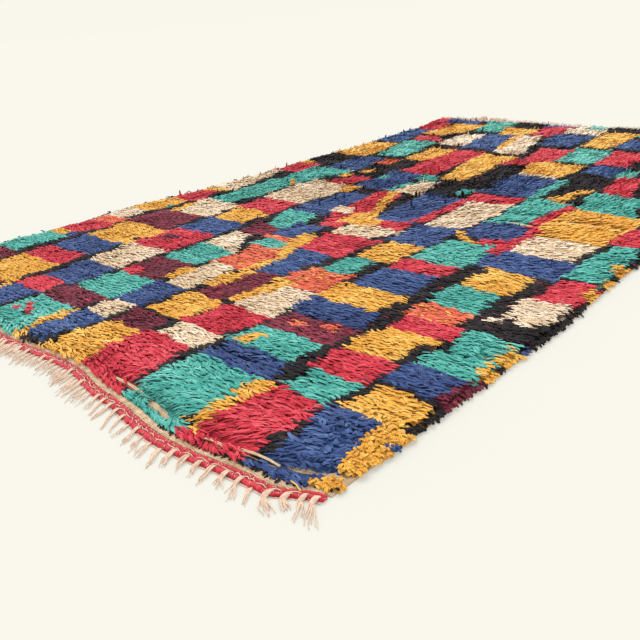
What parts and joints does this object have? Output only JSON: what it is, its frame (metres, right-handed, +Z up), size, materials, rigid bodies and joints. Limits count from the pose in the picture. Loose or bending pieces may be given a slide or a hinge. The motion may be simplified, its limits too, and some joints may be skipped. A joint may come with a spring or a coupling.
{
  "type": "azilal rug",
  "caption": "Shaggy hand-knotted wool rug with irregular colour blocks, a red band at one end and fringes at both ends, lying flat on the floor.",
  "frame": {"origin": "middle of the whole rug's bounding box, on the floor", "axes": "+X across the rug to its right edge, +Y along the rug away from the red end band, +Z up out of the pile"},
  "size_m": [1.5822, 2.5426, 0.034],
  "materials": {
    "pile_wool": "matte shaggy wool",
    "band_wool": "matte woven wool",
    "warp_wool": "matte undyed wool"
  },
  "bodies": {
    "root": {"rug": "pile_wool", "near_end_band": "band_wool", "near_fringe": "warp_wool", "far_fringe": "warp_wool"}
  },
  "joints": []
}
